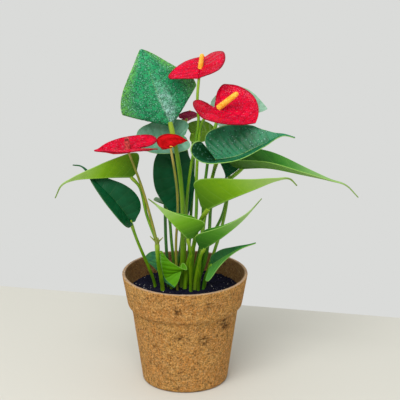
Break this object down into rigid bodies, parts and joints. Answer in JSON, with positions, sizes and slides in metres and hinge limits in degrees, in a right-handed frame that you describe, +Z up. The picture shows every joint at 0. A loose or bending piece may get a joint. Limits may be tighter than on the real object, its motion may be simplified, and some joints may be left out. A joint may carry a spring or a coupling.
{
  "type": "potted anthurium",
  "caption": "Young anthurium with heart-shaped leaves and red spathes with yellow spadices, growing in a tapered coir pot filled with soil",
  "frame": {"origin": "centre of the pot's flat base, on the surface it stands on", "axes": "+Z up through the pot's axis, -Y the front that the picture looks at, +X to the right in the picture"},
  "size_m": [0.3062, 0.1553, 0.3492],
  "materials": {
    "coir": "matte",
    "soil": "matte",
    "leaf_green": "satin",
    "leaf_lime": "satin",
    "stalk": "satin",
    "spathe": "gloss",
    "spadix": "satin"
  },
  "bodies": {
    "root": {"pot": "coir", "soil": "soil", "leaf_top": "leaf_green", "leaf_behind_left": "leaf_green", "leaf_hanging_centre": "leaf_green", "leaf_left_dark": "leaf_green", "leaf_centre_lime": "leaf_lime", "leaf_right_lime": "leaf_lime", "leaf_right_mid": "leaf_green", "leaf_right_low": "leaf_green", "leaf_front_low": "leaf_lime", "leaf_right_cupped": "leaf_green", "leaf_right_tailed": "leaf_green", "leaf_hanging_right": "leaf_green", "leaf_behind_right": "leaf_green", "leaf_behind_olive": "leaf_green", "leaf_back_left": "leaf_green", "leaf_back_right": "leaf_green", "shoot_left": "leaf_lime", "flower_top_stalk": "stalk", "flower_right_stalk": "stalk", "flower_centre_stalk": "stalk", "flower_back_stalk": "stalk", "flower_top_spathe": "spathe", "flower_top_spadix": "spadix", "flower_right_spathe": "spathe", "flower_right_spadix": "spadix", "flower_centre_spathe": "spathe", "flower_centre_spadix": "spadix", "flower_back_spathe": "spathe", "flower_back_spadix": "spadix", "flower_left_spathe": "spathe", "flower_left_spadix": "spadix"}
  },
  "joints": []
}
